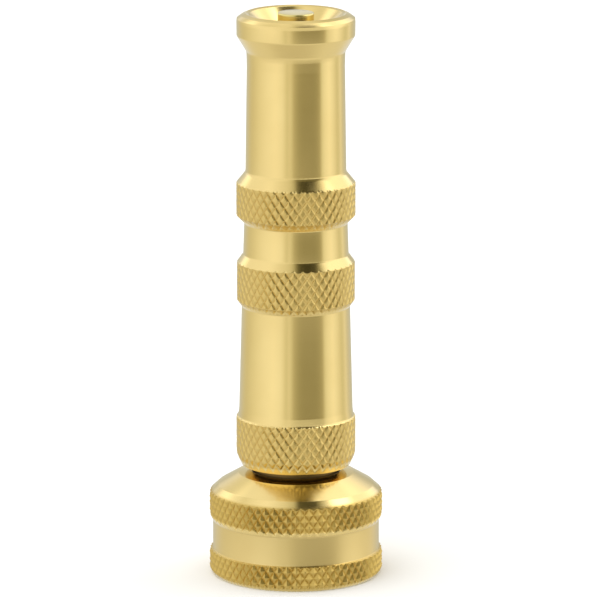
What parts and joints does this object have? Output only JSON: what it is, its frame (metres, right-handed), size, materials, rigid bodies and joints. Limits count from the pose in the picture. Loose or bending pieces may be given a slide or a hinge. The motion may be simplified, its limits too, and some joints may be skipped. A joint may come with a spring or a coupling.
{
  "type": "hose spray nozzle",
  "caption": "Twist spray nozzle for a garden hose: a knurled brass barrel screws along a hollow stem, which swivels in a knurled threaded hose coupling.",
  "frame": {"origin": "centre of the coupling nut's open end, which is the plane the nozzle stands on", "axes": "+Z along the axis from the hose end to the muzzle; the part is round about Z, so X and Y are free"},
  "size_m": [0.0312, 0.0312, 0.102],
  "materials": {
    "brass_body": "turned and knurled, bright",
    "brass_stem": "turned, bright",
    "rubber": "moulded, matt",
    "nylon": "moulded, matt"
  },
  "bodies": {
    "coupling": {"coupling_nut": "brass_body", "hose_washer": "rubber", "swivel_washer": "nylon"},
    "stem": {"stem": "brass_stem", "spray_tip": "brass_stem", "shutoff_o_ring": "rubber"},
    "stem_seals": {"stem_o_ring_rear": "rubber", "stem_o_ring_front": "rubber"},
    "barrel": {"barrel": "brass_body"}
  },
  "joints": [
    {"name": "coupling_swivel", "type": "hinge", "parent": "coupling", "child": "stem", "pos_m": [0, 0, 0], "axis": [0, 0, 1], "continuous": true},
    {"name": "barrel_twist", "type": "hinge", "parent": "stem", "child": "stem_seals", "pos_m": [0, 0, 0], "axis": [0, 0, 1], "range_deg": [0, 900]},
    {"name": "barrel_travel", "type": "slide", "parent": "stem_seals", "child": "barrel", "axis": [0, 0, 1], "range_m": [0, 0.0075]}
  ],
  "couplings": [
    {"joint": "barrel_twist", "follows": "barrel_travel", "rad_per_m": 2094.4}
  ]
}
